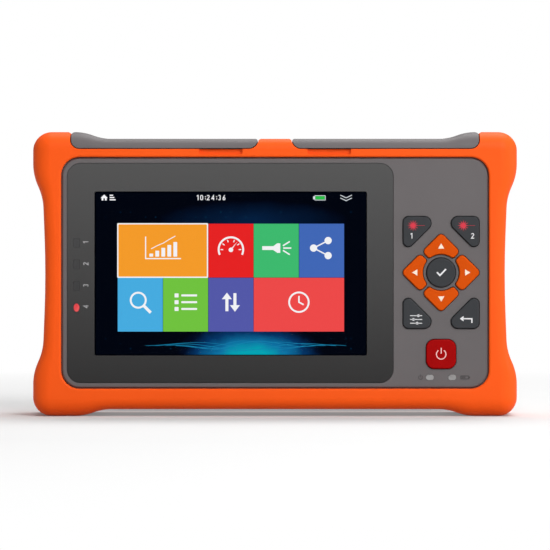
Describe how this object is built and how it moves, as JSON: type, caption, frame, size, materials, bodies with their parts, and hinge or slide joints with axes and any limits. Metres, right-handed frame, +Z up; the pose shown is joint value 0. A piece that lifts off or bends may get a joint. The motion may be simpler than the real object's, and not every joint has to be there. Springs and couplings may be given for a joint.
{
  "type": "optical time domain reflectometer",
  "caption": "Hand-held fibre tester in a bone-shaped rubber boot, with a wide screen, a diamond keypad, two hinged port flaps, a kickstand and a battery bay.",
  "frame": {"origin": "middle of the footprint, on the surface that the two lower crests of the boot stand on", "axes": "+X to the right across the face, +Y from the face to the back, +Z up"},
  "size_m": [0.1936, 0.046, 0.1136],
  "materials": {
    "rubber_boot": "smooth orange rubber, satin",
    "port_flap": "fine matt texture, mid grey",
    "flap_hinge_pins": "drawn steel",
    "front_housing": "fine matt texture, grey",
    "rear_housing": "fine matt texture, grey",
    "case_seal": "soft black seal",
    "case_screws": "machine screw",
    "front_lens": "dark printed sheet, semi-gloss",
    "touch_panel": "clear sheet",
    "display_panel": "lit panel",
    "display_gasket": "foam",
    "display_bracket": "pressed sheet",
    "small_screws": "machine screw",
    "board_standoffs": "turned brass",
    "main_board": "green board",
    "main_board_parts": "shield cans and connectors",
    "indicator_windows": "translucent",
    "lamps": "small lamp",
    "indicator_board": "green board",
    "keypad_mat": "silicone mat",
    "key_domes": "pressed dome",
    "key_board": "green board",
    "status_windows": "translucent light pipe",
    "port_tray": "black",
    "adapter": "nickel-plated brass",
    "meter_adapter": "turned metal",
    "adapter_screws": "machine screw",
    "meter_detector": "gold-coloured can",
    "ferrule_sleeves": "white ceramic",
    "lan_socket": "black plastic",
    "lan_contacts": "gold-coloured wires",
    "usb_socket_shell": "folded sheet",
    "usb_socket_tongue": "black plastic",
    "charge_socket": "black plastic",
    "charge_pin": "turned pin",
    "port_board": "green board",
    "optical_module": "folded metal box",
    "fibre_spool": "turned spool",
    "optical_fibre": "coated fibre",
    "kickstand": "fine matt texture, dark grey",
    "kickstand_pins": "drawn steel",
    "battery_pack": "shrink-wrapped pack",
    "battery_contacts": "bent blade",
    "battery_cover": "fine matt texture, grey",
    "cover_screws": "machine screw",
    "grey_key": "dark grey, satin",
    "arrow_key": "orange, satin",
    "key_power": "red, satin"
  },
  "bodies": {
    "case": {"rubber_boot": "rubber_boot", "flap_hinge_pins": "flap_hinge_pins", "front_housing": "front_housing", "rear_housing": "rear_housing", "case_seal": "case_seal", "case_screws": "case_screws", "front_lens": "front_lens", "touch_panel": "touch_panel", "display_panel": "display_panel", "display_gasket": "display_gasket", "display_bracket": "display_bracket", "small_screws": "small_screws", "board_standoffs": "board_standoffs", "main_board": "main_board", "main_board_parts": "main_board_parts", "indicator_windows": "indicator_windows", "lamps": "lamps", "indicator_board": "indicator_board", "keypad_mat": "keypad_mat", "key_domes": "key_domes", "key_board": "key_board", "status_windows": "status_windows", "optical_port_tray": "port_tray", "data_port_tray": "port_tray", "test_port_adapter": "adapter", "meter_port_adapter": "meter_adapter", "locator_port_adapter": "meter_adapter", "adapter_screws": "adapter_screws", "adapter_nuts": "adapter", "meter_detector": "meter_detector", "ferrule_sleeves": "ferrule_sleeves", "lan_socket": "lan_socket", "lan_contacts": "lan_contacts", "usb_socket_shell": "usb_socket_shell", "usb_socket_tongue": "usb_socket_tongue", "charge_socket": "charge_socket", "charge_pin": "charge_pin", "port_board": "port_board", "optical_module": "optical_module", "fibre_spool": "fibre_spool", "optical_fibre": "optical_fibre", "kickstand_pins": "kickstand_pins", "battery_pack": "battery_pack", "battery_contacts": "battery_contacts", "battery_cover": "battery_cover", "cover_screws": "cover_screws"},
    "port_flap_left": {"port_flap_left": "port_flap"},
    "port_flap_right": {"port_flap_right": "port_flap"},
    "kickstand": {"kickstand": "kickstand"},
    "key_ok": {"key_ok": "grey_key"},
    "key_up": {"key_up": "arrow_key"},
    "key_left": {"key_left": "arrow_key"},
    "key_down": {"key_down": "arrow_key"},
    "key_right": {"key_right": "arrow_key"},
    "key_laser_manual": {"key_laser_manual": "grey_key"},
    "key_laser_auto": {"key_laser_auto": "grey_key"},
    "key_setup": {"key_setup": "grey_key"},
    "key_escape": {"key_escape": "grey_key"},
    "key_power": {"key_power": "key_power"}
  },
  "joints": [
    {"name": "key_ok_press", "type": "slide", "parent": "case", "child": "key_ok", "axis": [0, 1, 0], "range_m": [0, 0.0008], "stiffness_N_per_m": 500, "springref_m": -0.0005},
    {"name": "key_up_press", "type": "slide", "parent": "case", "child": "key_up", "axis": [0, 1, 0], "range_m": [0, 0.0008], "stiffness_N_per_m": 500, "springref_m": -0.0005},
    {"name": "key_left_press", "type": "slide", "parent": "case", "child": "key_left", "axis": [0, 1, 0], "range_m": [0, 0.0008], "stiffness_N_per_m": 500, "springref_m": -0.0005},
    {"name": "key_down_press", "type": "slide", "parent": "case", "child": "key_down", "axis": [0, 1, 0], "range_m": [0, 0.0008], "stiffness_N_per_m": 500, "springref_m": -0.0005},
    {"name": "key_right_press", "type": "slide", "parent": "case", "child": "key_right", "axis": [0, 1, 0], "range_m": [0, 0.0008], "stiffness_N_per_m": 500, "springref_m": -0.0005},
    {"name": "key_laser_manual_press", "type": "slide", "parent": "case", "child": "key_laser_manual", "axis": [0, 1, 0], "range_m": [0, 0.0008], "stiffness_N_per_m": 500, "springref_m": -0.0005},
    {"name": "key_laser_auto_press", "type": "slide", "parent": "case", "child": "key_laser_auto", "axis": [0, 1, 0], "range_m": [0, 0.0008], "stiffness_N_per_m": 500, "springref_m": -0.0005},
    {"name": "key_setup_press", "type": "slide", "parent": "case", "child": "key_setup", "axis": [0, 1, 0], "range_m": [0, 0.0008], "stiffness_N_per_m": 500, "springref_m": -0.0005},
    {"name": "key_escape_press", "type": "slide", "parent": "case", "child": "key_escape", "axis": [0, 1, 0], "range_m": [0, 0.0008], "stiffness_N_per_m": 500, "springref_m": -0.0005},
    {"name": "key_power_press", "type": "slide", "parent": "case", "child": "key_power", "axis": [0, 1, 0], "range_m": [0, 0.0008], "stiffness_N_per_m": 500, "springref_m": -0.0005},
    {"name": "left_flap_hinge", "type": "hinge", "parent": "case", "child": "port_flap_left", "pos_m": [-0.07935, 0.0015, 0.11165], "axis": [0, -1, 0], "range_deg": [0, 100]},
    {"name": "right_flap_hinge", "type": "hinge", "parent": "case", "child": "port_flap_right", "pos_m": [0.07935, 0.0015, 0.11165], "axis": [0, 1, 0], "range_deg": [0, 100]},
    {"name": "kickstand_hinge", "type": "hinge", "parent": "case", "child": "kickstand", "pos_m": [0, 0.02, 0.0884], "axis": [1, 0, 0], "range_deg": [0, 45]}
  ]
}
